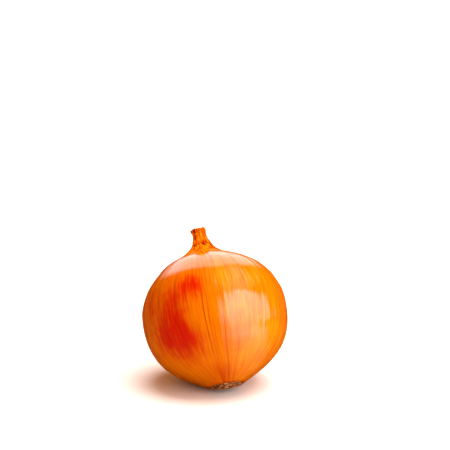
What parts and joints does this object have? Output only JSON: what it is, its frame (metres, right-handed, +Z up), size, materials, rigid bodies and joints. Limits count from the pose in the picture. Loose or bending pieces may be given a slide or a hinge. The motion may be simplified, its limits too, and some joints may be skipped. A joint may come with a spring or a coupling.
{
  "type": "onion",
  "caption": "Whole yellow onion lying on its lower flank: round bulb with glossy dry skin, gathered dry neck torn at the top, and a sunken root plate with a mat of short dry roots.",
  "frame": {"origin": "in the plane that the onion lies on, below the middle of its box; the small flat spot of the bulb's lower flank lies in that plane round the origin", "axes": "+Z up, the longest extent; the bulb's own axis lies in the YZ plane, its neck leaning 31 degrees back from upright towards +Y, so the root plate looks down and forwards to -Y"},
  "size_m": [0.0764, 0.0756, 0.0797],
  "materials": {
    "onion_skin": "smooth glossy dry skin, saturated orange with fine darker red-brown veins running from root plate to neck",
    "dry_root": "dry matt tan and cream roots over a dark brown root plate"
  },
  "bodies": {
    "root": {"bulb": "onion_skin", "root_plate": "dry_root"}
  },
  "joints": []
}
